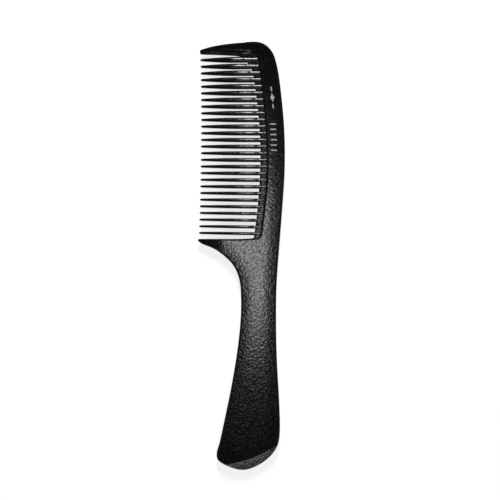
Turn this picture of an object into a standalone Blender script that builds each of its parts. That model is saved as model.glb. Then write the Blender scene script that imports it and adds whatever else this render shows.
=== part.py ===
"""Handle comb for detangling hair, one plastic moulding set out as its named regions.

Units are metres. The comb lies flat on Z = 0 with the origin under the centre of its outline:
+Y runs from the handle's end to the head, the teeth point to -X, and +Z is up out of the face.
The comb is the same on both faces, so every section is symmetric about the mid-plane Z = MID.
"""

import math
from collections import namedtuple

import bmesh
import bpy
from mathutils import Matrix, Vector
from mathutils.geometry import interpolate_bezier

MM = 0.001

# ---- Driving dimensions ---------------------------------------------------------------------
PLATE_THICKNESS = 5.0 * MM      # back and handle, over their flat faces
EDGE_RADIUS = 0.8 * MM          # rounding along the outline of back and handle
BED_THICKNESS = 2.6 * MM        # recessed web that the teeth grow from
BED_EDGE_RADIUS = 0.3 * MM
SEAM = 0.3 * MM                 # clearance between neighbouring regions
MID = PLATE_THICKNESS / 2

TOOTH_COUNT = 27
FIRST_TIP_Y, LAST_TIP_Y = 102.9 * MM, 12.1 * MM
FIRST_ROOT_Y, LAST_ROOT_Y = 103.1 * MM, 11.65 * MM
FIRST_ROOT_WIDTH, LAST_ROOT_WIDTH = 3.15 * MM, 1.62 * MM
TIP_WIDTH = 1.15 * MM           # tooth width just behind its rounded tip
ROOT_DEPTH, TIP_DEPTH = 3.3 * MM, 1.3 * MM   # tooth size through the comb, along Z
FLARE_LENGTH = 18.0 * MM        # length over which a tooth grows to its full width
FLARE_POWER = 1.6               # 1 would be a straight taper; higher is fuller near the tip
TIP_ROUND = 1.1 * MM            # length of the rounded nose of a tooth
TIP_ARC = (-21.66, 1.63, -2.42)              # mm, tip X is a quadratic from the top tooth down
TOOTH_STATIONS = (0.03, 0.25, 0.7, 1.6, 4.0, 8.0, 13.0, 18.0)   # mm behind the tip
TOOTH_SIDES = 8

TOP_GUARD_CUT_X = 2.4 * MM      # where the top guard tooth leaves the back
HEEL_GUARD_CUT_X = -10.2 * MM   # where the heel guard tooth leaves the back
ABOVE_THROAT_Y = 60.0 * MM      # only the head is cut at the top guard, not the heel below this
HANDLE_CUT_Y = -1.0 * MM        # where the back becomes the handle

BEVEL_CENTRE = (-16.9 * MM, -47.5 * MM)      # the bevelled end is a cone about this point
BEVEL_CREASE_RADIUS = 62.5 * MM
BEVEL_ANGLE = math.radians(12.5)

CURVE_STEPS = 8                 # straight pieces in each Bezier span
WELD = 0.01 * MM                # points closer than this are one point
CUTTER_REACH = 130 * MM         # further out than any outline
CUTTER_HEIGHT = 40 * MM         # taller than the plate on both sides
CONE_OVERLAP = 0.5 * MM         # the cone starts this far outside the face
CONE_RISE = 8 * MM              # and runs to this depth, past the opposite face
CONE_SEGMENTS = 128
BLACK = (0.012, 0.013, 0.015, 1.0)
BLACK_GLOSS = (0.006, 0.006, 0.007, 1.0)

# ---- Outlines -------------------------------------------------------------------------------
# A knot is a point in mm with the direction of travel in degrees on its way in and out.
Knot = namedtuple("Knot", "x y way_in way_out")


def smooth(x, y, way):
    return Knot(x, y, way, way)


def corner(x, y, way_in, way_out):
    return Knot(x, y, way_in, way_out)


OUTER_EDGE = [                  # top of the head, curved back, handle end, hand side of the handle
    smooth(6.7, 112.5, 0),
    smooth(11.3, 111.6, -23),
    smooth(15.2, 108.5, -51),
    smooth(17.6, 104.0, -73),
    smooth(20.2, 91.0, -83),
    smooth(22.3, 70.0, -86),
    smooth(22.85, 53.0, -90),
    smooth(22.1, 34.0, -94),
    smooth(20.2, 9.2, -94.5),
    smooth(18.55, -13.0, -93),
    smooth(18.2, -33.0, -90),
    smooth(18.9, -60.0, -87),
    smooth(20.0, -80.0, -88),
    smooth(20.2, -91.0, -92),
    smooth(19.0, -99.4, -111),
    smooth(14.6, -105.8, -137),
    smooth(7.6, -110.6, -155),
    smooth(0.6, -112.5, 180),
    smooth(-7.0, -110.5, 156),
    smooth(-12.0, -107.5, 136),
    smooth(-13.05, -104.2, 88),
    smooth(-11.5, -98.1, 77),
    smooth(-7.4, -79.1, 78),
    smooth(-3.1, -56.0, 81),
    smooth(-0.45, -33.5, 86),
    smooth(-0.3, -18.5, 92),
    smooth(-3.3, -6.6, 118),
    smooth(-8.6, -0.4, 139),
]
STEP_WALL = [                   # step from the raised face down to the tooth bed, going up
    corner(-12.0, 8.9, 90, 0),
    smooth(7.9, 8.9, 0),
    smooth(10.6, 11.9, 84),
    smooth(12.6, 28.0, 84),
    smooth(13.8, 48.0, 90),
    smooth(13.0, 71.0, 95),
    smooth(11.4, 88.0, 97),
    smooth(9.9, 100.2, 97),
    smooth(9.3, 104.1, 102),
    smooth(6.2, 107.35, 168),
    smooth(2.2, 107.8, 178),
]
STUB_X = -4.0                   # the plate runs on this far into the top guard before it is cut
BED_FRONT = [                   # front edge of the tooth bed, going down
    corner(2.75, 107.3, 180, -90),
    smooth(2.75, 103.2, -90),
    smooth(5.5, 98.4, -74),
    smooth(7.5, 87.5, -82),
    smooth(9.7, 66.0, -86),
    smooth(10.1, 55.0, -90),
    smooth(9.6, 38.0, -94),
    smooth(8.1, 20.7, -97),
    corner(6.6, 9.2, -98, 0),
]
PLATE_OUTLINE = [
    corner(STUB_X, 111.7, 90, 5),
    *OUTER_EDGE,
    corner(-12.0, 2.4, 146, 90),
    *STEP_WALL,
    corner(STUB_X, 107.8, 180, 90),
]

# Guard teeth from root to tip: x, lower edge, upper edge, half thickness, all in mm.
TOP_GUARD = [
    (2.25, 105.15, 112.17, 2.5),
    (-3.7, 105.15, 111.7, 2.4),
    (-10.0, 105.5, 110.95, 2.2),
    (-16.0, 105.75, 109.9, 1.95),
    (-20.0, 105.85, 108.75, 1.7),
    (-21.4, 106.0, 108.25, 1.5),
    (-21.75, 106.5, 107.8, 1.0),
]
TOP_GUARD_CREST = [107.8, 108.1, 108.25, 107.75, 107.1, 106.95, 107.0]
HEEL_GUARD = [
    (-10.35, 1.0, 8.9, 2.5),
    (-13.0, 2.95, 8.9, 2.4),
    (-16.3, 4.6, 8.9, 2.2),
    (-19.5, 5.8, 8.9, 2.0),
    (-21.5, 6.75, 8.9, 1.75),
    (-22.5, 7.5, 8.8, 1.45),
    (-22.85, 8.0, 8.5, 0.9),
]
GUARD_LIP = 0.65                # mm, half thickness of the top guard's edge next to the teeth
GUARD_CHAMFER = 0.8             # mm, bevel on the other edges of the guard teeth
EDGE_SHARE = 0.6                # no lip or bevel takes more than this share of the half thickness


def handle_length(chord, turn):
    """Bezier handle that makes a span with this chord and turn close to a circular arc."""
    return chord / (3 * math.cos(turn / 4) ** 2)


def span_handles(a, b):
    """The two control points between knots a and b, in mm."""
    out, into = math.radians(a.way_out), math.radians(b.way_in)
    turn = math.remainder(into - out, math.tau)
    reach = handle_length(math.hypot(b.x - a.x, b.y - a.y), turn)
    first = (a.x + reach * math.cos(out), a.y + reach * math.sin(out))
    second = (b.x - reach * math.cos(into), b.y - reach * math.sin(into))
    return first, second


def is_straight(a, b):
    """Whether knots a and b both point along the line that joins them."""
    line = math.atan2(b.y - a.y, b.x - a.x)
    ways = (math.radians(a.way_out), math.radians(b.way_in))
    return all(abs(math.remainder(way - line, math.tau)) < 0.001 for way in ways)


def shifted(knots, distance):
    """The same knots moved sideways, to the left of the direction of travel, by distance in mm."""
    moved = []
    for knot in knots:
        side = math.radians(knot.way_out + 90)
        x = knot.x + distance * math.cos(side)
        y = knot.y + distance * math.sin(side)
        moved.append(Knot(x, y, knot.way_in, knot.way_out))
    return moved


def sampled(knots):
    """Points along an open path of knots, in metres."""
    points = []
    for a, b in zip(knots, knots[1:]):
        first, second = span_handles(a, b)
        corners = [Vector((x * MM, y * MM)) for x, y in ((a.x, a.y), first, second, (b.x, b.y))]
        points += interpolate_bezier(*corners, CURVE_STEPS + 1)[:-1]
    points.append(Vector((knots[-1].x * MM, knots[-1].y * MM)))
    return points


# ---- Scene helpers --------------------------------------------------------------------------
def clear_scene():
    for obj in list(bpy.data.objects):
        bpy.data.objects.remove(obj, do_unlink=True)


def new_collection(name):
    collection = bpy.data.collections.new(name)
    bpy.context.scene.collection.children.link(collection)
    return collection


def new_material(name, colour, roughness):
    material = bpy.data.materials.new(name)
    material.use_nodes = True
    shader = material.node_tree.nodes["Principled BSDF"]
    shader.inputs["Base Color"].default_value = colour
    shader.inputs["Roughness"].default_value = roughness
    shader.inputs["Metallic"].default_value = 0.0
    return material


def place(name, mesh, collection, material=None):
    """Adds an object with this mesh on the comb's mid-plane."""
    obj = bpy.data.objects.new(name, mesh)
    obj.location.z = MID
    collection.objects.link(obj)
    if material:
        mesh.materials.clear()
        mesh.materials.append(material)
    return obj


def flat_moulding(name, knots, thickness, edge_radius):
    """Mesh of a closed outline with thickness and rounded edges, centred on Z = 0."""
    curve = bpy.data.curves.new(name, "CURVE")
    curve.dimensions = "2D"
    curve.fill_mode = "BOTH"
    curve.resolution_u = CURVE_STEPS
    curve.extrude = thickness / 2 - edge_radius
    curve.bevel_depth = edge_radius
    curve.bevel_resolution = 1
    curve.offset = -edge_radius
    spline = curve.splines.new("BEZIER")
    spline.bezier_points.add(len(knots) - 1)
    spline.use_cyclic_u = True
    for i, knot in enumerate(knots):
        following = (i + 1) % len(knots)
        first, second = span_handles(knot, knots[following])
        point, next_point = spline.bezier_points[i], spline.bezier_points[following]
        kind = "VECTOR" if is_straight(knot, knots[following]) else "FREE"
        point.handle_right_type = next_point.handle_left_type = kind
        point.co = (knot.x * MM, knot.y * MM, 0)
        point.handle_right = (first[0] * MM, first[1] * MM, 0)
        next_point.handle_left = (second[0] * MM, second[1] * MM, 0)
    guide = bpy.data.objects.new(name + "_curve", curve)
    bpy.context.scene.collection.objects.link(guide)
    evaluated = guide.evaluated_get(bpy.context.evaluated_depsgraph_get())
    mesh = bpy.data.meshes.new_from_object(evaluated)
    mesh.name = name
    bpy.data.objects.remove(guide, do_unlink=True)
    welded = bmesh.new()
    welded.from_mesh(mesh)
    bmesh.ops.remove_doubles(welded, verts=welded.verts, dist=WELD)
    bmesh.ops.recalc_face_normals(welded, faces=welded.faces)
    welded.to_mesh(mesh)
    welded.free()
    return mesh


def lofted(name, rings):
    """Closed mesh through rings of equal length, with a flat cap on the first and the last."""
    solid = bmesh.new()
    rows = [[solid.verts.new(point) for point in ring] for ring in rings]
    for row, following in zip(rows, rows[1:]):
        for i in range(len(row)):
            j = (i + 1) % len(row)
            solid.faces.new((row[i], row[j], following[j], following[i]))
    solid.faces.new(rows[0])
    solid.faces.new(rows[-1])
    bmesh.ops.recalc_face_normals(solid, faces=solid.faces)
    mesh = bpy.data.meshes.new(name)
    solid.to_mesh(mesh)
    solid.free()
    return mesh


def shade_round(obj, angle=40):
    obj.data.shade_smooth()
    obj.data.set_sharp_from_angle(angle=math.radians(angle))


# ---- Cutters --------------------------------------------------------------------------------
def cutter_object(name, solid, cutters):
    mesh = bpy.data.meshes.new(name)
    solid.to_mesh(mesh)
    solid.free()
    cutter = place(name, mesh, cutters)
    cutter.hide_render = True
    cutter.display_type = "WIRE"
    return cutter


def box_cutter(name, low, high, cutters):
    """Box between two corners given as (x, y), passing right through the comb."""
    solid = bmesh.new()
    bmesh.ops.create_cube(solid, size=1.0)
    size = (high[0] - low[0], high[1] - low[1], CUTTER_HEIGHT)
    bmesh.ops.scale(solid, verts=solid.verts, vec=size)
    middle = ((high[0] + low[0]) / 2, (high[1] + low[1]) / 2, 0)
    bmesh.ops.translate(solid, verts=solid.verts, vec=middle)
    return cutter_object(name, solid, cutters)


def cone_cutter(name, side, cutters):
    """Wide cone that keeps the handle and planes its end to a bevel on the +Z or -Z face."""
    spread = 1 / math.tan(BEVEL_ANGLE)
    depth = CONE_RISE + CONE_OVERLAP
    solid = bmesh.new()
    bmesh.ops.create_cone(
        solid,
        cap_ends=True,
        segments=CONE_SEGMENTS,
        radius1=BEVEL_CREASE_RADIUS + CONE_RISE * spread,
        radius2=BEVEL_CREASE_RADIUS - CONE_OVERLAP * spread,
        depth=depth,
    )
    if side < 0:
        bmesh.ops.rotate(solid, verts=solid.verts, matrix=Matrix.Rotation(math.pi, 3, "X"))
    height = side * (PLATE_THICKNESS / 2 + CONE_OVERLAP - depth / 2)
    bmesh.ops.translate(solid, verts=solid.verts, vec=(*BEVEL_CENTRE, height))
    return cutter_object(name, solid, cutters)


def carve(obj, operation, cutter):
    modifier = obj.modifiers.new(cutter.name, "BOOLEAN")
    modifier.operation = operation
    modifier.solver = "EXACT"
    modifier.object = cutter


# ---- Regions of the comb --------------------------------------------------------------------
def make_spine(plate, parts, cutters, material):
    """Head plate: curved back, heel block under the teeth and the start of the top guard."""
    spine = place("spine", plate.copy(), parts, material)
    spine.data.name = "spine"
    far = (CUTTER_REACH, CUTTER_REACH)
    heel_corner = (HEEL_GUARD_CUT_X + SEAM / 2, HANDLE_CUT_Y + SEAM / 2)
    carve(spine, "INTERSECT", box_cutter("spine_range", heel_corner, far, cutters))
    guard_side = (TOP_GUARD_CUT_X + SEAM / 2, CUTTER_REACH)
    below_guard = (-CUTTER_REACH, ABOVE_THROAT_Y)
    carve(spine, "DIFFERENCE", box_cutter("top_guard_range", below_guard, guard_side, cutters))
    return spine


def make_handle(plate, parts, cutters, material):
    """Flat waisted grip that widens to a rounded end with a crescent bevel on each face."""
    handle = place("handle", plate.copy(), parts, material)
    handle.data.name = "handle"
    near = (-CUTTER_REACH, -CUTTER_REACH)
    high = (CUTTER_REACH, HANDLE_CUT_Y - SEAM / 2)
    carve(handle, "INTERSECT", box_cutter("handle_range", near, high, cutters))
    carve(handle, "INTERSECT", cone_cutter("end_bevel_upper", 1, cutters))
    carve(handle, "INTERSECT", cone_cutter("end_bevel_lower", -1, cutters))
    return handle


def make_tooth_bed(parts, material):
    """Thin curved web in the recess of the back, carrying the roots of the teeth."""
    knots = BED_FRONT + shifted(STEP_WALL[1:-1], SEAM / MM)
    mesh = flat_moulding("tooth_bed", knots, BED_THICKNESS, BED_EDGE_RADIUS)
    return place("tooth_bed", mesh, parts, material)


def guard_ring(x, low, high, half, low_bevel, high_bevel):
    """Section of a guard tooth at x: a bar with a bevel (size in y, size in z) at each edge."""
    upper = [
        (high, half - high_bevel[1]),
        (high - high_bevel[0], half),
        (low + low_bevel[0], half),
        (low, half - low_bevel[1]),
    ]
    section = upper + [(y, -z) for y, z in reversed(upper)]
    return [(x * MM, y * MM, z * MM) for y, z in section]


def make_top_guard(parts, material):
    """Heavy end tooth; its faces fall away from a crest to a thin edge next to the teeth."""
    rings = []
    for (x, low, high, half), crest in zip(TOP_GUARD, TOP_GUARD_CREST):
        lip = min(GUARD_LIP, EDGE_SHARE * half)
        edge = min(GUARD_CHAMFER, (high - crest) / 2, EDGE_SHARE * half)
        rings.append(guard_ring(x, low, high, half, (crest - low, half - lip), (edge, edge)))
    return place("top_guard_tooth", lofted("top_guard_tooth", rings), parts, material)


def make_heel_guard(parts, material):
    """Pointed end tooth that runs out of the heel, flat on the side facing the teeth."""
    rings = []
    for x, low, high, half in HEEL_GUARD:
        edge = min(GUARD_CHAMFER, (high - low) / 3, EDGE_SHARE * half)
        rings.append(guard_ring(x, low, high, half, (edge, edge), (edge, edge)))
    return place("heel_guard_tooth", lofted("heel_guard_tooth", rings), parts, material)


def along(first, last, t):
    return first + (last - first) * t


def tip_x(t):
    """The tips lie on a shallow arc, furthest out at the heel end; t runs 0 to 1 from the top."""
    start, slope, bow = TIP_ARC
    return (start + slope * t + bow * t * t) * MM


def front_x(front, y):
    """X of the bed's front edge, given as points going down, at height y."""
    for upper, lower in zip(front, front[1:]):
        if upper.y >= y >= lower.y and upper.y > lower.y:
            return along(upper.x, lower.x, (upper.y - y) / (upper.y - lower.y))
    return front[-1].x


def tooth_ring(x, y, width, depth):
    points = []
    for i in range(TOOTH_SIDES):
        angle = math.tau * i / TOOTH_SIDES
        points.append((x, y + width / 2 * math.cos(angle), depth / 2 * math.sin(angle)))
    return points


def make_tooth(index, front, parts, material):
    """Slender tooth of lens section, wide at the root and rounded at the tip."""
    t = index / (TOOTH_COUNT - 1)
    tip = Vector((tip_x(t), along(FIRST_TIP_Y, LAST_TIP_Y, t)))
    root_y = along(FIRST_ROOT_Y, LAST_ROOT_Y, t)
    root_width = FIRST_ROOT_WIDTH * (LAST_ROOT_WIDTH / FIRST_ROOT_WIDTH) ** t
    across = (root_y - root_width / 2, root_y, root_y + root_width / 2)
    root = Vector((min(front_x(front, y) for y in across) - SEAM, root_y))
    length = (root - tip).length
    rings = []
    for behind in [s * MM for s in TOOTH_STATIONS] + [length]:
        grown = 1 - max(0.0, 1 - behind / FLARE_LENGTH) ** FLARE_POWER
        nose = 1.0
        if behind < TIP_ROUND:
            nose = math.sqrt(1 - (1 - behind / TIP_ROUND) ** 2)
        width = along(TIP_WIDTH, root_width, grown) * nose
        depth = along(TIP_DEPTH, ROOT_DEPTH, behind / length) * nose
        centre = tip.lerp(root, behind / length)
        rings.append(tooth_ring(centre.x, centre.y, width, depth))
    name = f"tooth_{index + 1:02d}"
    return place(name, lofted(name, rings), parts, material)


def main():
    clear_scene()
    parts = new_collection("handle_comb")
    cutters = new_collection("cutters")
    textured = new_material("textured_black_plastic", BLACK, 0.5)
    polished = new_material("polished_black_plastic", BLACK_GLOSS, 0.18)

    plate = flat_moulding("plate", PLATE_OUTLINE, PLATE_THICKNESS, EDGE_RADIUS)
    make_spine(plate, parts, cutters, textured)
    make_handle(plate, parts, cutters, textured)
    make_tooth_bed(parts, textured)
    shade_round(make_top_guard(parts, textured))
    shade_round(make_heel_guard(parts, textured))
    front = sampled(BED_FRONT)
    for index in range(TOOTH_COUNT):
        shade_round(make_tooth(index, front, parts, polished))
    bpy.data.meshes.remove(plate)


main()
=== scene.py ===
"""Looks of the handle comb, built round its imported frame.

The back, handle and guard teeth become one moulded skin, the tooth bed one textured rail, and each
tooth a fine lens-section blade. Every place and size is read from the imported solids. Lengths in the
shape code are millimetres and heights are measured from the comb's mid-plane; vertices are written
in metres.
"""

import math

import bmesh
import bpy
import numpy as np
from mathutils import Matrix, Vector
from mathutils.bvhtree import BVHTree
from mathutils.geometry import delaunay_2d_cdt


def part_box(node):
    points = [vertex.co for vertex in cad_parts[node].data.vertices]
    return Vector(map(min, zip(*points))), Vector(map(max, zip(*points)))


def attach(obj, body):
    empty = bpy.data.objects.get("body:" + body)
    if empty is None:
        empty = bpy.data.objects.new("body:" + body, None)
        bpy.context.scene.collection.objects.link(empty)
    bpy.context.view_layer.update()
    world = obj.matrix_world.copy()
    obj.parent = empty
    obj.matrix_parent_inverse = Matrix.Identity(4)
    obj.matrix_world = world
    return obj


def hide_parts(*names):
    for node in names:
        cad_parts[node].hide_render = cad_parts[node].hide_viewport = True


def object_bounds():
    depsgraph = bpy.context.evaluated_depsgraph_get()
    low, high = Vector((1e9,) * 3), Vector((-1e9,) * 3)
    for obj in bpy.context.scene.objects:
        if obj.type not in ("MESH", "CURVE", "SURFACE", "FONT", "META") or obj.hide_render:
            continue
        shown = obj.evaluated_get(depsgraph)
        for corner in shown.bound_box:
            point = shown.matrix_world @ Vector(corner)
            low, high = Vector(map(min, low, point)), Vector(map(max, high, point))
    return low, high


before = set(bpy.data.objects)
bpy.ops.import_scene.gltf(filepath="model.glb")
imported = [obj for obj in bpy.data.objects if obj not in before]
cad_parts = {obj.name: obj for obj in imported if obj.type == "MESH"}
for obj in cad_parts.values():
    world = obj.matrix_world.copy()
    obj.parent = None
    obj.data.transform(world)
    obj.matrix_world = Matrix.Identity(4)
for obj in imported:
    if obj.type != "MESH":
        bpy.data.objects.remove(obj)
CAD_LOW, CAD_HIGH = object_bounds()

MM = 0.001
MID = (CAD_LOW.z + CAD_HIGH.z) / 2
HALF = (CAD_HIGH.z - CAD_LOW.z) / 2 / MM          # half the thickness of the plate
SEAM = (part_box("spine")[0].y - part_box("handle")[1].y) / MM
BODY = "root"
TEETH = sorted(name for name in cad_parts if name.startswith("tooth_") and name[6:].isdigit())

# ---- Shape of the moulded skin ----
EDGE_INSET = 1.05          # width of the rounding along the outline
EDGE_DROP = 1.25           # height of that rounding
END_INSET = 0.4            # the rounding is smaller round the handle's end bevel
WALL_SLOPE = 0.9           # width of the sloping step down to the tooth bed
WALL_SHIFT = 0.45          # its foot stands this far in front of the solid's wall
CROWN = 0.30               # how far the faces fall from the middle to their edges
CROWN_REACH = 4.5          # width of the blur that shapes the crown
FULL_COVER = 0.95          # a face is at full height where this much of the blur lies on the comb
COVER_SPAN = 0.45          # and has fallen by CROWN where it is this much less
CROWN_LIMIT = 1.2          # the fall never passes this many times CROWN
SUPPORT = 0.22             # extra loop inside the rounding, which keeps the crest crisp
EDGE_STOPS = ((0, 0), (0.04, 0.14), (0.14, 0.28), (0.4, 0.55), (0.7, 0.785), (0.93, 0.95), (1, 1))
THINNEST_SIDE = 0.2        # the upright side keeps at least this share of the half thickness
OUTLINE_STEP = 0.75        # longest stretch between two points of an outline
BEVEL_START_Y = 102.0      # where the wide bevel beside the first tooth begins on the step wall
LIP = 0.5                  # half thickness of that bevel at its thin edge
LIP_AT_BED = 1.2           # and at the foot of the step down to the tooth bed
THROAT = 15.0              # beside the heel the step is a plain rounded edge for this length
LIP_FROM_WALL = ((-0.1, 1.35), (-1.1, 2.5), (-3.3, 2.95), (-5.8, 2.85), (-8.6, 2.75), (-10.8, 3.05))
LIP_SHARE = 0.6            # a lip takes at most this share of the half thickness
# Rings from the outline to the crest, as shares (across, up): EDGE_STOPS for the rounded edge,
# BEVEL_STOPS for the bevel, which is steepest at its lip
BEVEL_STOPS = ((0, 0), (0.05, 0.12), (0.25, 0.40), (0.5, 0.66), (0.75, 0.86), (0.93, 0.965), (1, 1))
SHARP_CREST = 33           # degrees: the crest of the rounding stays crisp above this
POLISHED_SLOPES = (0.3, 0.93)        # upward parts of the normals of the polished bevel
FACE_GRID = 1.6            # spacing of the points that carry the crown
END_BEVEL_CENTRE = (-16.9, -47.5)    # the handle's end bevel is a cone about this point, as in the solid
END_BEVEL_RADIUS = 62.5
END_BEVEL_SLOPE = math.tan(math.radians(12.5))

# ---- Shape of the rail and the teeth ----
BED_INSET = 0.35           # rounding of the rail's edges
BED_SINK = 0.35            # how far the rail runs into the step wall
BED_FORWARD = 0.1          # its front edge is rounded, so it reaches this much further
BED_CORNER = 2.0           # the rounding fades out over this length into the rail's sharp top corner
SECTION_SIDES = 28
LENS = 1.8                 # exponent of the tooth section: 2 is an ellipse, 1 a diamond
BELLY = 4.9                # the crest of a tooth is highest this far in front of the bed
BELLY_RADIUS = 95.0        # radius of the crest there
SHOULDER = 5.0             # towards the tip the crest bends this far and then runs straight
NOSE = 1.5                 # length of the rounded tip
NOSE_STOPS = (0.0, 0.02, 0.07, 0.15, 0.27, 0.42, 0.6, 0.8)
RIDGE_WIDTH = 0.95         # width of a tooth's ridge on the rail, as a share of the tooth
RIDGE_LIFT = 0.05          # the ridge starts this much above the tooth's crest
RIDGE_FALL = 0.02          # and falls this much on its way to the step wall
RIDGE_END = 0.4            # it ends this far inside the wall
RIDGE_FILLET = 0.6         # where the ridge on the rail sweeps up into the step wall

# ---- Printed marks ----
ORNAMENT_Y = 83.0          # middle of the ornament
BARS_Y = 62.2              # middle of the row of bars
BAR_PITCH = 2.75
BARS_SHIFT = -0.9          # the bars stand nearer the teeth than the middle of the strip
STRIP_SHARE = 0.46         # the marks' middle line, from the step wall to the outer edge
INK = 0.03                 # thickness of the ink


# =============================================================================================
# Reading the frame
# =============================================================================================
def node_points(name):
    """A CAD node's vertices in mm, with Z measured from the mid-plane."""
    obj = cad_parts[name]
    points = np.array([obj.matrix_world @ v.co for v in obj.data.vertices])
    return (points - [0, 0, MID]) / MM


def mid_loop(name):
    """The node's outline where the mid-plane cuts it, as ordered (x, y), clockwise seen from above."""
    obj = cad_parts[name]
    solid = bmesh.new()
    solid.from_mesh(obj.data)
    bmesh.ops.transform(solid, matrix=obj.matrix_world, verts=solid.verts)
    bmesh.ops.remove_doubles(solid, verts=solid.verts, dist=1e-6)
    everything = [*solid.verts, *solid.edges, *solid.faces]
    cut = bmesh.ops.bisect_plane(solid, geom=everything, plane_co=(0, 0, MID), plane_no=(0, 0, 1))
    edges = [e for e in cut["geom_cut"] if isinstance(e, bmesh.types.BMEdge)]
    beside = {}
    for edge in edges:
        a, b = edge.verts
        beside.setdefault(a, []).append(b)
        beside.setdefault(b, []).append(a)
    start = here = edges[0].verts[0]
    before, walk = None, []
    while True:
        walk.append((here.co.x / MM, here.co.y / MM))
        onward = [v for v in beside[here] if v is not before]
        before, here = here, onward[0]
        if here is start:
            break
    solid.free()
    loop = np.array(walk)
    nxt = np.roll(loop, -1, axis=0)
    area = np.sum(loop[:, 0] * nxt[:, 1] - nxt[:, 0] * loop[:, 1])
    return loop[::-1] if area > 0 else loop


def chains(loop, cuts):
    """The stretches of a closed loop between straight cuts, each cut given as (axis, value)."""
    count = len(loop)
    on_cut = []
    for i in range(count):
        a, b = loop[i], loop[(i + 1) % count]
        on_cut.append(any(abs(a[k] - v) < 0.01 and abs(b[k] - v) < 0.01 for k, v in cuts))
    start = on_cut.index(True) + 1
    found, run = [], [loop[start % count]]
    for step in range(count):
        i = (start + step) % count
        if on_cut[i]:
            if len(run) > 1:
                found.append(np.array(run))
            run = []
        run.append(loop[(i + 1) % count])
    return found


def guard_stations(name):
    """Rings of a guard tooth as rows x, low, low crest, high crest, high, half depth, from -X to +X."""
    points = node_points(name)
    rows = []
    for x in np.unique(points[:, 0].round(2)):
        ring = points[abs(points[:, 0] - x) < 0.02]
        half = ring[:, 2].max()
        face = ring[ring[:, 2] > half - 0.01]
        rows.append((x, ring[:, 1].min(), face[:, 1].min(), face[:, 1].max(), ring[:, 1].max(), half))
    return np.array(rows)


# =============================================================================================
# Curves
# =============================================================================================
def catmull(points, closed, step=0.05):
    """Dense centripetal Catmull-Rom curve through rows of (x, y, other channels)."""
    rows = np.asarray(points, float)
    count = len(rows)
    spans = count if closed else count - 1
    dense = []
    for i in range(spans):
        if closed:
            p = [rows[(i + k) % count] for k in (-1, 0, 1, 2)]
        else:
            p = [rows[min(max(i + k, 0), count - 1)] for k in (-1, 0, 1, 2)]
        gaps = [max(math.hypot(*(p[k + 1] - p[k])[:2]) ** 0.5, 1e-4) for k in range(3)]
        t = np.concatenate([[0], np.cumsum(gaps)])
        n = max(2, int(math.hypot(*(p[2] - p[1])[:2]) / step))
        u = t[1] + (t[2] - t[1]) * (np.arange(n) / n)[:, None]
        a = [(t[k + 1] - u) / (t[k + 1] - t[k]) * p[k] + (u - t[k]) / (t[k + 1] - t[k]) * p[k + 1]
             for k in range(3)]
        b = [(t[k + 2] - u) / (t[k + 2] - t[k]) * a[k] + (u - t[k]) / (t[k + 2] - t[k]) * a[k + 1]
             for k in range(2)]
        dense.append((t[2] - u) / (t[2] - t[1]) * b[0] + (u - t[1]) / (t[2] - t[1]) * b[1])
    if not closed:
        dense.append(rows[-1:])
    return np.concatenate(dense)


def tangents(dense):
    ahead = np.roll(dense[:, :2], -3, axis=0) - np.roll(dense[:, :2], 3, axis=0)
    return ahead / np.linalg.norm(ahead, axis=1)[:, None]


def thinned(dense, longest, degrees):
    """Rows of a closed dense curve, close together where it turns, with their inward normals."""
    way = tangents(dense)
    hop = np.linalg.norm(np.roll(dense[:, :2], -1, axis=0) - dense[:, :2], axis=1)
    turn = np.arccos(np.clip(np.sum(way * np.roll(way, -1, axis=0), axis=1), -1, 1))
    cost = np.cumsum(hop / longest + turn / math.radians(degrees))
    total = cost[-1]
    count = int(total)
    wanted = np.arange(count) / count * total
    picks = np.unique(np.searchsorted(cost, wanted))
    inward = np.stack([way[:, 1], -way[:, 0]], axis=1)
    return dense[picks], inward[picks]


def blurred(values, reach):
    """Running mean along a closed curve."""
    kernel = np.hanning(2 * reach + 3)[1:-1]
    kernel /= kernel.sum()
    padded = np.concatenate([values[-reach:], values, values[:reach]])
    return np.convolve(padded, kernel, mode="valid")


def distance_to(points, line):
    """Distance from each point to an open polyline."""
    best = np.full(len(points), 1e9)
    for a, b in zip(line, line[1:]):
        d = b - a
        t = np.clip(((points - a) @ d) / max(d @ d, 1e-9), 0, 1)
        best = np.minimum(best, np.linalg.norm(points - a - t[:, None] * d, axis=1))
    return best


def inside(points, loop):
    """Even-odd test of points against a closed loop."""
    x, y = points[:, 0], points[:, 1]
    result = np.zeros(len(points), bool)
    for (ax, ay), (bx, by) in zip(loop, np.roll(loop, -1, axis=0)):
        if ay == by:
            continue
        crosses = (ay > y) != (by > y)
        result ^= crosses & (x < (bx - ax) * (y - ay) / (by - ay) + ax)
    return result


# =============================================================================================
# Outline and heights of the moulded skin
# =============================================================================================
TOP_GUARD = guard_stations("top_guard_tooth")
HEEL_GUARD = guard_stations("heel_guard_tooth")
TOP_SEAM_X = TOP_GUARD[-1, 0] + SEAM
HEEL_SEAM_X = HEEL_GUARD[-1, 0] + SEAM
SPINE_LOW_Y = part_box("spine")[0].y / MM
HANDLE_HIGH_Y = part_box("handle")[1].y / MM


def spine_chains():
    """The spine's outer edge, its short stretch under the heel, and the step wall, all clockwise."""
    cuts = [(1, SPINE_LOW_Y), (0, TOP_SEAM_X), (0, HEEL_SEAM_X)]
    found = chains(mid_loop("spine"), cuts)
    outer = max(found, key=lambda c: c[:, 0].max())
    rest = [c for c in found if c is not outer]
    under_heel, wall = sorted(rest, key=len)
    return outer, under_heel, wall


def with_inset(points, inset):
    """Rows x, y, inset, bevel share, lip height for points that share one kind of edge."""
    inset = np.broadcast_to(inset, len(points))
    return np.column_stack([points, inset, np.zeros(len(points)), np.full(len(points), LIP)])


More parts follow.
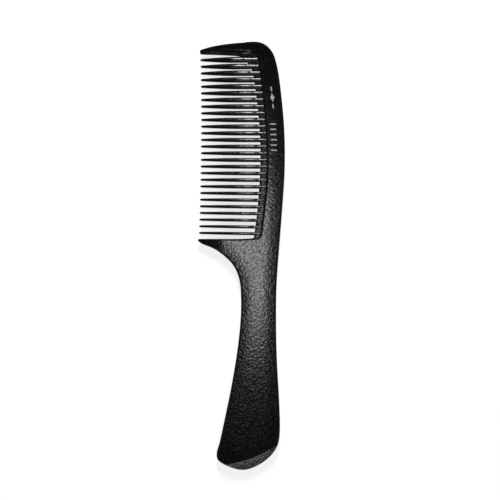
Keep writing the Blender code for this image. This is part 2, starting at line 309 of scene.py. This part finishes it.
def left_of(line):
    """Unit normals to the left of the direction of travel along a line of points."""
    way = np.gradient(line, axis=0)
    way /= np.linalg.norm(way, axis=1)[:, None]
    return np.stack([-way[:, 1], way[:, 0]], axis=1)


def skin_outline():
    """Control rows of the outline, hand side and tooth side: x, y, inset, bevel share, lip height."""
    outer, under_heel, wall = spine_chains()
    grip = chains(mid_loop("handle"), [(1, HANDLE_HIGH_Y)])[0]
    top, heel = TOP_GUARD, HEEL_GUARD
    top_edge = with_inset(top[:, [0, 4]], np.minimum(top[:, 4] - top[:, 3], EDGE_INSET))
    heel_low = with_inset(heel[::-1][:, [0, 1]], (heel[:, 2] - heel[:, 1])[::-1])
    heel_high = with_inset(heel[:, [0, 4]], heel[:, 4] - heel[:, 3])
    lower_wall = wall[wall[:, 1] < BEVEL_START_Y]
    upper_wall = wall[wall[:, 1] >= BEVEL_START_Y]
    crest = np.concatenate([upper_wall, top[::-1][:, [0, 2]]])
    slope = with_inset(lower_wall, WALL_SLOPE)
    slope[:, :2] += WALL_SHIFT * left_of(lower_wall)
    flat = lower_wall[:, 0] < lower_wall[0, 0] + THROAT
    slope[flat, :2] = lower_wall[flat]
    slope[:, 3] = np.where(flat, 0, 1)
    slope[:, 4] = LIP_AT_BED
    start = slope[-1, :2]
    lip_line = start + np.array(LIP_FROM_WALL)
    guard_low = top[::-1][1:, [0, 1]]
    lip = np.concatenate([lip_line, guard_low])
    widths = distance_to(lip, crest)
    share = np.ones(len(lip))
    share[0], share[-1], share[-2] = 0.7, 0.0, 0.5
    lip_height = np.full(len(lip), LIP)
    lip_height[:2] = LIP_AT_BED
    bevel = np.column_stack([lip, widths, share, lip_height])
    grip = with_inset(grip, EDGE_INSET)
    grip[beyond_crease(grip[:, :2]) > 0, 2] = END_INSET
    hand_side = np.concatenate([
        top_edge,
        with_inset(outer, EDGE_INSET),
        grip,
        with_inset(under_heel, EDGE_INSET),
        heel_low,
    ])
    return hand_side, np.concatenate([heel_high, slope, bevel])


class Crown:
    """Smooth fall of the faces towards their edges, from a blurred picture of the outline."""

    CELL = 0.5

    def __init__(self, loop):
        margin = 3 * CROWN_REACH
        self.low = loop.min(axis=0) - margin
        counts = np.ceil((loop.max(axis=0) + margin - self.low) / self.CELL).astype(int)
        xs = self.low[0] + self.CELL * np.arange(counts[0])
        ys = self.low[1] + self.CELL * np.arange(counts[1])
        grid = np.stack(np.meshgrid(xs, ys, indexing="ij"), axis=-1).reshape(-1, 2)
        filled = inside(grid, loop).reshape(counts).astype(float)
        reach = int(3 * CROWN_REACH / self.CELL)
        kernel = np.exp(-0.5 * (np.arange(-reach, reach + 1) * self.CELL / CROWN_REACH) ** 2)
        kernel /= kernel.sum()
        for axis in (0, 1):
            filled = np.apply_along_axis(np.convolve, axis, filled, kernel, mode="same")
        self.cover = filled

    def fall(self, points):
        """Drop of the face at these points, in mm."""
        at = (points - self.low) / self.CELL
        cell = np.clip(np.floor(at).astype(int), 0, np.array(self.cover.shape) - 2)
        u, v = (at - cell).T
        i, j = cell.T
        c = self.cover
        cover = ((c[i, j] * (1 - u) + c[i + 1, j] * u) * (1 - v)
                 + (c[i, j + 1] * (1 - u) + c[i + 1, j + 1] * u) * v)
        return CROWN * np.clip((FULL_COVER - cover) / COVER_SPAN, 0, CROWN_LIMIT)


def beyond_crease(points):
    """Distance past the crease of the handle's end bevel."""
    x, y = points.T
    past = np.hypot(x - END_BEVEL_CENTRE[0], y - END_BEVEL_CENTRE[1]) - END_BEVEL_RADIUS
    return np.where(y < HANDLE_HIGH_Y, np.maximum(past, 0), 0)


def face_height(points, crown):
    """Height of the skin's face above the mid-plane."""
    x, y = points.T
    height = np.full(len(points), HALF)
    top = (x < TOP_SEAM_X) & (y > TOP_GUARD[:, 1].min() - 3)
    height[top] = np.interp(x[top], TOP_GUARD[:, 0], TOP_GUARD[:, 5])
    heel = (x < HEEL_SEAM_X) & (y > SPINE_LOW_Y) & (y < HEEL_GUARD[:, 4].max() + 1)
    height[heel] = np.interp(x[heel], HEEL_GUARD[:, 0], HEEL_GUARD[:, 5])
    return height - crown.fall(points) - beyond_crease(points) * END_BEVEL_SLOPE


# =============================================================================================
# Meshes
# =============================================================================================
def new_piece(name, verts, faces, materials, nodes):
    """Mesh piece of the comb that stands for CAD nodes; verts in mm from the mid-plane."""
    mesh = bpy.data.meshes.new(name)
    placed = np.asarray(verts) * MM + [0, 0, MID]
    mesh.from_pydata(placed.tolist(), [], [list(f) for f in faces])
    mesh.validate()
    obj = bpy.data.objects.new(name, mesh)
    bpy.context.scene.collection.objects.link(obj)
    for material in materials:
        mesh.materials.append(material)
    shell = bmesh.new()
    shell.from_mesh(mesh)
    bmesh.ops.recalc_face_normals(shell, faces=shell.faces)
    shell.to_mesh(mesh)
    shell.free()
    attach(obj, BODY)
    if nodes:
        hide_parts(*nodes)
    return obj


def filled(ring, extra, constraints):
    """Triangles inside a ring of points, through extra points and along constraint edges."""
    count = len(ring)
    points = [Vector(p) for p in np.concatenate([ring, extra])]
    edges = [(i, (i + 1) % count) for i in range(count)]
    edges += [(a + count, b + count) for a, b in constraints]
    coords, _, faces, origins, _, _ = delaunay_2d_cdt(points, edges, [], 1, 1e-6)
    index = {}
    for new, olds in enumerate(origins):
        index[new] = olds[0] if olds else None
    return np.array([tuple(c) for c in coords]), faces, index


def two_faced(rings, cap_points, cap_faces, cap_index, cap_heights):
    """Vertices and faces of a closed piece: rings of (x, y, z) above the mid-plane, and their mirror."""
    count = len(rings[0])
    layers = len(rings)
    upper = np.concatenate(rings)
    own = [i for i in range(len(cap_points)) if cap_index[i] is None or cap_index[i] >= count]
    mine = set(own)
    place = {i: cap_index[i] + (layers - 1) * count for i in range(len(cap_points)) if i not in mine}
    for k, i in enumerate(own):
        place[i] = layers * count + k
    inner = np.column_stack([cap_points[own], cap_heights[own]]) if own else np.zeros((0, 3))
    upper = np.concatenate([upper, inner])
    lower = upper * [1, 1, -1]
    total = len(upper)
    faces = []
    for k in range(layers - 1):
        for i in range(count):
            j = (i + 1) % count
            a, b = k * count + i, k * count + j
            c, d = b + count, a + count
            faces.append((a, b, c, d))
            faces.append((a + total, d + total, c + total, b + total))
    for i in range(count):
        j = (i + 1) % count
        faces.append((i + total, j + total, j, i))
    for face in cap_faces:
        corners = tuple(place[i] for i in face)
        faces.append(corners)
        faces.append(tuple(c + total for c in reversed(corners)))
    return np.concatenate([upper, lower]), faces


def grid_inside(ring, spacing, margin):
    """Grid points inside a ring and at least margin from it."""
    low, high = ring.min(axis=0), ring.max(axis=0)
    xs = np.arange(low[0] + spacing / 2, high[0], spacing)
    ys = np.arange(low[1] + spacing / 2, high[1], spacing)
    grid = np.stack(np.meshgrid(xs, ys, indexing="ij"), axis=-1).reshape(-1, 2)
    grid[:, 0] += np.where(np.round(grid[:, 1] / spacing) % 2 == 0, 0, spacing / 2)
    grid = grid[inside(grid, ring)]
    closed = np.concatenate([ring, ring[:1]])
    return grid[distance_to(grid, closed) > margin]


def crease_lines(ring):
    """Points and edges along the crease of the end bevel, with a loop close by on each side."""
    points, edges = [], []
    for offset in (-SUPPORT, 0.0, SUPPORT):
        radius = END_BEVEL_RADIUS + offset
        angles = np.arange(math.radians(-85), math.radians(-45), 0.9 / radius)
        line = np.stack([np.cos(angles), np.sin(angles)], axis=1) * radius + END_BEVEL_CENTRE
        line = line[inside(line, ring)]
        line = line[distance_to(line, np.concatenate([ring, ring[:1]])) > 0.12]
        first = sum(len(p) for p in points)
        edges += [(first + i, first + i + 1) for i in range(len(line) - 1)]
        points.append(line)
    return np.concatenate(points), edges


def make_skin(materials):
    """Back, handle and guard teeth in one skin: rounded outline, crowned faces, end bevel."""
    hand_side, tooth_side = skin_outline()
    control = np.concatenate([hand_side, tooth_side])
    rows, inward = thinned(catmull(control, closed=True), OUTLINE_STEP, 7)
    outline = rows[:, :2]
    inset, share, lip = (blurred(rows[:, k], 2) for k in (2, 3, 4))
    crown = Crown(hand_side[:, :2])
    edge = outline + inward * inset[:, None]
    face = face_height(edge, crown)
    base = np.maximum(face - EDGE_DROP, THINNEST_SIDE * face)
    base = base * (1 - share) + np.minimum(lip, LIP_SHARE * face) * share
    rings = []
    for edge_stop, bevel_stop in zip(EDGE_STOPS, BEVEL_STOPS):
        across, up = (e * (1 - share) + b * share for e, b in zip(edge_stop, bevel_stop))
        place = outline + inward * (inset * across)[:, None]
        rings.append(np.column_stack([place, base + (face - base) * up]))
    room = np.clip((face - 1.1) / 0.9, 0.05, 1) * SUPPORT
    support = edge + inward * room[:, None]
    rings.append(np.column_stack([support, face_height(support, crown)]))
    crease, crease_edges = crease_lines(support)
    grid = grid_inside(support, FACE_GRID, 0.5)
    grid = grid[distance_to(grid, crease) > 0.6]
    extra = np.concatenate([crease, grid])
    cap_points, cap_faces, cap_index = filled(support, extra, crease_edges)
    heights = face_height(cap_points, crown)
    verts, faces = two_faced(rings, cap_points, cap_faces, cap_index, heights)
    nodes = ("spine", "handle", "top_guard_tooth", "heel_guard_tooth")
    skin = new_piece("moulded_body", verts, faces, materials, nodes)
    skin.data.shade_smooth()
    skin.data.set_sharp_from_angle(angle=math.radians(SHARP_CREST))
    polish_bevel(skin, outline[share > 0.6])
    return skin


def polish_bevel(skin, lip):
    """Gives the sloping faces behind the lip the second, polished material."""
    reach = TOP_GUARD[:, 3].max() - TOP_GUARD[:, 1].min() + 1
    for polygon in skin.data.polygons:
        slope = abs(polygon.normal.z)
        if not POLISHED_SLOPES[0] < slope < POLISHED_SLOPES[1] or polygon.center.y / MM < BEVEL_START_Y - 1:
            continue
        gap = np.linalg.norm(lip - [polygon.center.x / MM, polygon.center.y / MM], axis=1).min()
        facing_teeth = polygon.normal.y < 0 or polygon.normal.x < 0
        if gap < reach and facing_teeth:
            polygon.material_index = 1


def make_rail(materials):
    """The tooth bed: a thin textured web whose back edge runs into the step wall."""
    loop = mid_loop("tooth_bed")
    wall = spine_chains()[2]
    near_wall = distance_to(loop, wall) < SEAM + 0.15
    dense = catmull(np.column_stack([loop, near_wall]), closed=True)
    rows, inward = thinned(dense, OUTLINE_STEP, 9)
    sink = blurred((rows[:, 2] > 0.5).astype(float), 1) * (SEAM + BED_SINK)
    forward = np.where(sink > 0, sink, BED_FORWARD)
    outline = rows[:, :2] - inward * forward[:, None]
    half = node_points("tooth_bed")[:, 2].max()
    taper = np.clip((outline[:, 1].max() - outline[:, 1]) / BED_CORNER, 0.03, 1)[:, None]
    rings = []
    for k in range(4):
        angle = math.pi / 2 * k / 3
        place = outline + inward * taper * BED_INSET * (1 - math.cos(angle))
        height = half - BED_INSET * (1 - math.sin(angle))
        rings.append(np.column_stack([place, np.full(len(place), height)]))
    edge = rings[-1][:, :2]
    cap_points, cap_faces, cap_index = filled(edge, grid_inside(edge, FACE_GRID, 0.6), [])
    verts, faces = two_faced(rings, cap_points, cap_faces, cap_index, np.full(len(cap_points), half))
    rail = new_piece("tooth_rail", verts, faces, materials, ("tooth_bed",))
    rail.data.shade_smooth()
    rail.data.set_sharp_from_angle(angle=math.radians(50))


def tooth_stations(name):
    """Dense rows x, middle y, width, depth along a CAD tooth, from the tip to the root."""
    points = node_points(name)
    rows = []
    for x in np.unique(points[:, 0].round(2)):
        ring = points[abs(points[:, 0] - x) < 0.02]
        y, z = ring[:, 1], ring[:, 2]
        rows.append((x, (y.max() + y.min()) / 2, y.max() - y.min(), z.max() - z.min()))
    return catmull(rows, closed=False)


def crest_height(front, root_half, tip_half, length):
    """Half depth of a tooth this far in front of the bed: a long gentle hump, highest at BELLY."""
    off = front - BELLY
    bend = BELLY_RADIUS
    if off <= 0:
        return root_half - off * off / (2 * bend)
    slope = SHOULDER / bend
    fall = off * off / (2 * bend) if off < SHOULDER else slope * (off - SHOULDER / 2)
    far = length - BELLY
    total = slope * (far - SHOULDER / 2)
    return root_half - fall * (root_half - tip_half) / total if off >= SHOULDER else root_half - fall


def make_tooth(name, wall, material):
    """Fine blade on a CAD tooth's place and sizes; its root crosses the rail as a low ridge."""
    rows = tooth_stations(name)
    tip, root = rows[0, 0], rows[-1, 0]
    middle = np.polyfit(rows[:, 0], rows[:, 1], 1)
    at_wall = np.interp(np.polyval(middle, root), wall[:, 1], wall[:, 0])
    root_half = rows[-1, 3] / 2
    tip_half = np.interp(tip + NOSE, rows[:, 0], rows[:, 3]) / 2
    tip_width = np.interp(tip + NOSE, rows[:, 0], rows[:, 2])
    nose = tip + NOSE * np.array(NOSE_STOPS)
    body = np.linspace(tip + NOSE, root, 30)
    ridge = root + (at_wall + RIDGE_END - root) * np.linspace(0.12, 1, 9)
    rings = []
    for x in np.concatenate([nose, body, ridge]):
        half = crest_height(max(root - x, -2.0), root_half, tip_half, root - tip)
        width = np.interp(x, rows[:, 0], rows[:, 2])
        if x < tip + NOSE:
            rounding = math.sqrt(1 - (1 - max(x - tip, 0.004) / NOSE) ** 2)
            width, half = tip_width * rounding, tip_half * rounding
        if x > root:
            over = min((x - root) / (at_wall - root), 1)
            width = rows[-1, 2] * (RIDGE_WIDTH + (1 - RIDGE_WIDTH) * max(1 - 3 * over, 0))
            half = crest_height(0, root_half, tip_half, root - tip) + RIDGE_LIFT - RIDGE_FALL * over
            near = max(x - (at_wall - RIDGE_FILLET), 0) / (RIDGE_FILLET + RIDGE_END)
            half += RIDGE_FILLET * (1 - math.sqrt(1 - min(near, 1) ** 2))
        centre = np.polyval(middle, x)
        for k in range(SECTION_SIDES):
            angle = math.tau * k / SECTION_SIDES
            c, s = math.cos(angle), math.sin(angle)
            y = math.copysign(abs(c) ** (2 / LENS), c) * width / 2
            z = math.copysign(abs(s) ** (2 / LENS), s) * half
            rings.append((x, centre + y, z))
    verts = np.array(rings)
    faces = []
    for k in range(len(verts) // SECTION_SIDES - 1):
        for i in range(SECTION_SIDES):
            j = (i + 1) % SECTION_SIDES
            a, b = k * SECTION_SIDES + i, k * SECTION_SIDES + j
            faces.append((a, b, b + SECTION_SIDES, a + SECTION_SIDES))
    faces.append(tuple(range(SECTION_SIDES)))
    faces.append(tuple(range(len(verts) - SECTION_SIDES, len(verts))))
    blade = new_piece(name + "_blade", verts, faces, [material], (name,))
    blade.data.shade_smooth()
    blade.data.set_sharp_from_angle(angle=math.radians(60))


# ---- Printed marks ----
def bar(along, across, length, width, turned=False):
    """Round-ended bar across or, turned, along the strip, as a loop of (along, across) points."""
    points = []
    for k in range(16):
        angle = math.tau * (k + 0.5) / 16
        shift = math.copysign((length - width) / 2, math.cos(angle))
        long_way, short_way = shift + width / 2 * math.cos(angle), width / 2 * math.sin(angle)
        if turned:
            points.append((along + long_way, across + short_way))
        else:
            points.append((along + short_way, across + long_way))
    return points


def lozenge(along, across, length, width):
    """Four-sided mark with slightly hollow sides."""
    points = []
    for k in range(16):
        angle = math.tau * k / 16
        c, s = math.cos(angle), math.sin(angle)
        shape = (abs(c) ** 0.85 + abs(s) ** 0.85) ** (-1 / 0.85)
        points.append((along + length / 2 * c * shape, across + width / 2 * s * shape))
    return points


def make_marks(skin, outer, wall, material):
    """Pad-printed ornament and row of bars on the back's upper face, as a film of ink."""
    loops = [lozenge(ORNAMENT_Y, 0, 5.0, 2.4)]
    for side in (-1, 1):
        loops.append(bar(ORNAMENT_Y + side * 4.5, 0, 2.4, 0.7, turned=True))
    for k in range(6):
        loops.append(bar(BARS_Y + (k - 2.5) * BAR_PITCH, BARS_SHIFT, 3.3, 0.7))
    mesh = skin.data
    surface = BVHTree.FromPolygons([v.co for v in mesh.vertices], [p.vertices for p in mesh.polygons])
    verts, faces = [], []
    for loop in loops:
        ring = []
        for y, across in loop:
            left = np.interp(y, wall[:, 1], wall[:, 0])
            right = np.interp(y, outer[:, 1], outer[:, 0])
            ring.append((left + STRIP_SHARE * (right - left) + across, y))
        ring = np.array(ring)
        film, triangles, _ = filled(ring, grid_inside(ring, 0.4, 0.1), [])
        count, first = len(ring), len(verts)
        foot = first + len(film)
        heights = []
        for x, y in film:
            above = Vector((x * MM, y * MM, CAD_HIGH.z + 0.01))
            heights.append((surface.ray_cast(above, Vector((0, 0, -1)))[0].z - MID) / MM)
        for lift in (INK, -INK):
            verts += [(x, y, z + lift) for (x, y), z in zip(film, heights)]
        for face in triangles:
            faces.append(tuple(first + i for i in face))
            faces.append(tuple(foot + i for i in reversed(face)))
        for i in range(count):
            j = (i + 1) % count
            faces.append((first + i, first + j, foot + j, foot + i))
    new_piece("printed_marks", verts, faces, [material], ())


# =============================================================================================
# Materials
# =============================================================================================
class Graph:
    """Short way to build a node material."""

    def __init__(self, name):
        self.material = bpy.data.materials.new(name)
        self.material.use_nodes = True
        self.tree = self.material.node_tree
        self.shader = self.tree.nodes["Principled BSDF"]
        self.coords = self.tree.nodes.new("ShaderNodeTexCoord").outputs["Object"]

    def node(self, kind, inputs=None, **settings):
        made = self.tree.nodes.new("ShaderNode" + kind)
        for key, value in settings.items():
            setattr(made, key, value)
        for key, value in (inputs or {}).items():
            if hasattr(value, "links"):
                self.tree.links.new(value, made.inputs[key])
            else:
                made.inputs[key].default_value = value
        return made

    def noise(self, size, detail=2.0, roughness=0.5):
        """Noise whose blobs measure about size metres."""
        inputs = {"Vector": self.coords, "Scale": 1 / size, "Detail": detail, "Roughness": roughness}
        return self.node("TexNoise", inputs).outputs["Fac"]

    def spread(self, value, low, high, start=0.3, end=0.7):
        """Maps a value from start..end to low..high."""
        inputs = {"Value": value, "From Min": start, "From Max": end, "To Min": low, "To Max": high}
        return self.node("MapRange", inputs).outputs["Result"]

    def mixed(self, factor, first, second):
        """Colour between two, by a value from 0 to 1."""
        ramp = self.node("ValToRGB", {"Fac": factor})
        for element, colour in zip(ramp.color_ramp.elements, (first, second)):
            element.color = (*colour, 1)
        return ramp.outputs["Color"]

    def bump(self, height, strength, distance, below=None):
        inputs = {"Height": height, "Strength": strength, "Distance": distance}
        if below is not None:
            inputs["Normal"] = below
        return self.node("Bump", inputs).outputs["Normal"]

    def finish(self, **sockets):
        for key, value in sockets.items():
            socket = self.shader.inputs[key.replace("_", " ")]
            if hasattr(value, "links"):
                self.tree.links.new(value, socket)
            else:
                socket.default_value = value
        return self.material


def grained_plastic(name, smoothest, roughest):
    """Black carbon-filled plastic with a fine moulded grain and slightly uneven sheen."""
    g = Graph(name)
    colour = g.mixed(g.spread(g.noise(0.0011), 0, 1), (0.0015, 0.0016, 0.002), (0.0095, 0.0098, 0.011))
    rough = g.spread(g.noise(0.0008, 1), smoothest, roughest, 0.42, 0.58)
    normal = g.bump(g.noise(0.0011, 0), 1.0, 0.00004)
    normal = g.bump(g.noise(0.0006, 1), 1.0, 0.00001, normal)
    return g.finish(Base_Color=colour, Roughness=rough, Normal=normal)


def polished_plastic():
    """The same plastic from a polished part of the mould, with faint flow waviness."""
    g = Graph("polished_black_plastic")
    colour = g.mixed(g.spread(g.noise(0.004), 0, 1), (0.003, 0.003, 0.0035), (0.006, 0.006, 0.0065))
    rough = g.spread(g.noise(0.003, 2), 0.105, 0.14)
    normal = g.bump(g.noise(0.003, 1), 0.5, 0.00001)
    return g.finish(Base_Color=colour, Roughness=rough, Normal=normal)


def print_ink():
    """Pale grey pad-printed ink, a little worn."""
    g = Graph("pale_ink")
    colour = g.mixed(g.spread(g.noise(0.0006, 3), 0, 1), (0.72, 0.72, 0.73), (0.93, 0.93, 0.94))
    rough = g.spread(g.noise(0.0008), 0.5, 0.65)
    return g.finish(Base_Color=colour, Roughness=rough)


# =============================================================================================
# Floor, lights and camera
# =============================================================================================
VIEW_WIDTH = 0.2629                      # width of the picture at the comb, in metres
VIEW_CENTRE = Vector((0.0045, 0.0031, MID))
LENS_MM = 85
SENSOR_MM = 36
FLOOR_REACH = 1.6
FLOOR_GAP = 0.0004                       # the floor lies this far under the comb
# Brightness of the studio walls by the sine of their elevation. The soft band part of the way up
# gives the flat faces some sheen from the side.
SKY = ((0.001, 0.13), (0.2, 0.08), (0.27, 0.3), (0.46, 0.3), (0.57, 0.01))


def make_floor():
    """Pale sweep, flagged off from reflections so that the black plastic keeps its dark flanks."""
    g = Graph("pale_floor")
    colour = g.mixed(g.spread(g.noise(0.05, 3), 0, 1), (0.90, 0.90, 0.90), (0.92, 0.92, 0.92))
    g.finish(Base_Color=colour, Roughness=0.6, Emission_Color=(1, 1, 1, 1), Emission_Strength=0.72)
    mesh = bpy.data.meshes.new("floor")
    z = CAD_LOW.z - FLOOR_GAP
    corners = [(x * FLOOR_REACH, y * FLOOR_REACH, z) for x, y in ((-1, -1), (1, -1), (1, 1), (-1, 1))]
    mesh.from_pydata(corners, [], [(0, 1, 2, 3)])
    floor = bpy.data.objects.new("floor", mesh)
    bpy.context.scene.collection.objects.link(floor)
    mesh.materials.append(g.material)
    floor.visible_glossy = False


def area_light(name, place, target, size, power, colour=(1, 1, 1)):
    data = bpy.data.lights.new(name, "AREA")
    data.shape = "RECTANGLE"
    data.size, data.size_y = size
    data.energy = power
    data.color = colour
    light = bpy.data.objects.new(name, data)
    bpy.context.scene.collection.objects.link(light)
    light.location = place
    light.rotation_euler = (Vector(target) - Vector(place)).to_track_quat("-Z", "Y").to_euler()
    return light


def make_studio():
    world = bpy.data.worlds.new("studio")
    bpy.context.scene.world = world
    world.use_nodes = True
    tree = world.node_tree
    background = tree.nodes["Background"]
    coords = tree.nodes.new("ShaderNodeTexCoord")
    split = tree.nodes.new("ShaderNodeSeparateXYZ")
    ramp = tree.nodes.new("ShaderNodeValToRGB")
    stops = ramp.color_ramp.elements
    stops.remove(stops[1])
    for place, level in SKY:
        stop = stops.new(place)
        stop.color = (level, level, level, 1)
    stops.remove(stops[0])
    tree.links.new(coords.outputs["Generated"], split.inputs["Vector"])
    tree.links.new(split.outputs["Z"], ramp.inputs["Fac"])
    tree.links.new(ramp.outputs["Color"], background.inputs["Color"])
    area_light("overhead_softbox", (0.004, -0.011, 0.9), (0.004, -0.011, 0), (0.12, 0.18), 0.56,
               (0.94, 0.97, 1.0))
    area_light("head_side_strip", (0.0, 0.72, 0.50), (0, 0.1, 0), (0.07, 0.26), 2.6)
    area_light("foot_side_softbox", (0.087, -0.529, 0.614), (0, -0.109, 0), (0.30, 0.12), 0.35)


def make_camera():
    data = bpy.data.cameras.new("camera")
    data.lens = LENS_MM
    data.sensor_width = SENSOR_MM
    data.clip_start, data.clip_end = 0.01, 20
    camera = bpy.data.objects.new("camera", data)
    bpy.context.scene.collection.objects.link(camera)
    distance = LENS_MM * VIEW_WIDTH / SENSOR_MM
    camera.location = VIEW_CENTRE + Vector((0, 0, distance))
    bpy.context.scene.camera = camera
    bpy.context.scene.view_settings.view_transform = "Standard"


def main():
    grained = grained_plastic("grained_black_plastic", 0.11, 0.25)
    rail_grain = grained_plastic("matte_black_plastic", 0.22, 0.34)
    polished, ink = polished_plastic(), print_ink()
    skin = make_skin([grained, polished])
    make_rail([rail_grain])
    outer, _, wall = spine_chains()
    outer = outer[np.argsort(outer[:, 1])]
    wall = wall[np.argsort(wall[:, 1])]
    make_marks(skin, outer, wall, ink)
    for name in TEETH:
        make_tooth(name, wall, polished)
    make_floor()
    make_studio()
    make_camera()


main()
